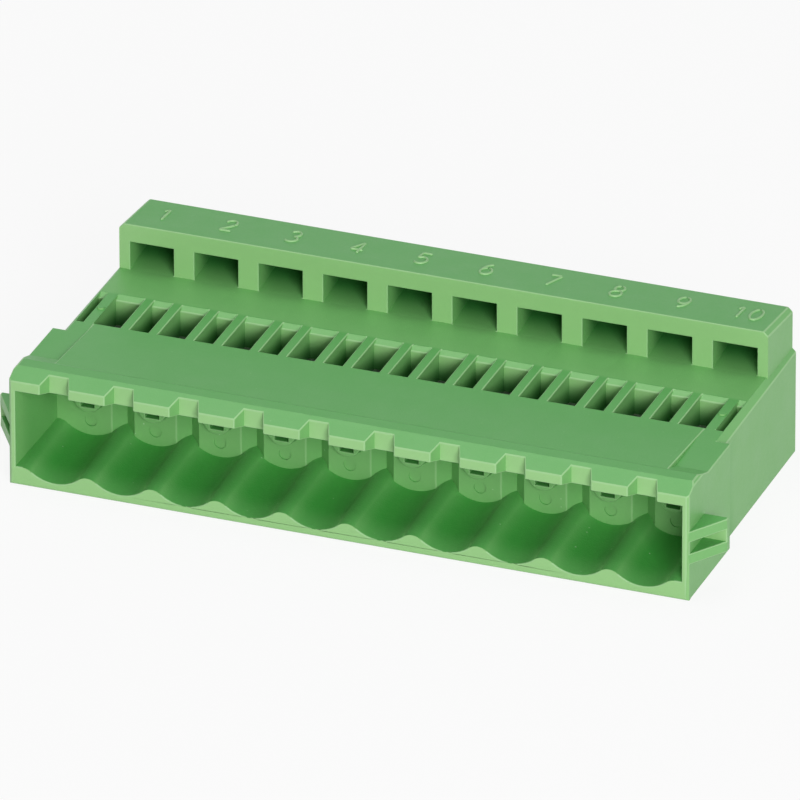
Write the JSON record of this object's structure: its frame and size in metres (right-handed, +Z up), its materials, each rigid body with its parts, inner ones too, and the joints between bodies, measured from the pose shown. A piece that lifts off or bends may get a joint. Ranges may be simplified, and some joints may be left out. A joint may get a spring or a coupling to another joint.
{
  "type": "pluggable terminal block",
  "caption": "Moulded pin-side housing of a pluggable terminal block: open keyed shroud in front, slotted deck, wire entries and pocketed ridge behind.",
  "frame": {"origin": "centre of the bounding box on the flat underside", "axes": "+X along the row of positions, -Y out of the mating shroud, +Y out of the wire entries, +Z up"},
  "size_m": [0.0566, 0.0252, 0.0123],
  "materials": {
    "green_polyamide": "satin moulded polyamide"
  },
  "bodies": {
    "root": {"housing": "green_polyamide"}
  },
  "joints": []
}
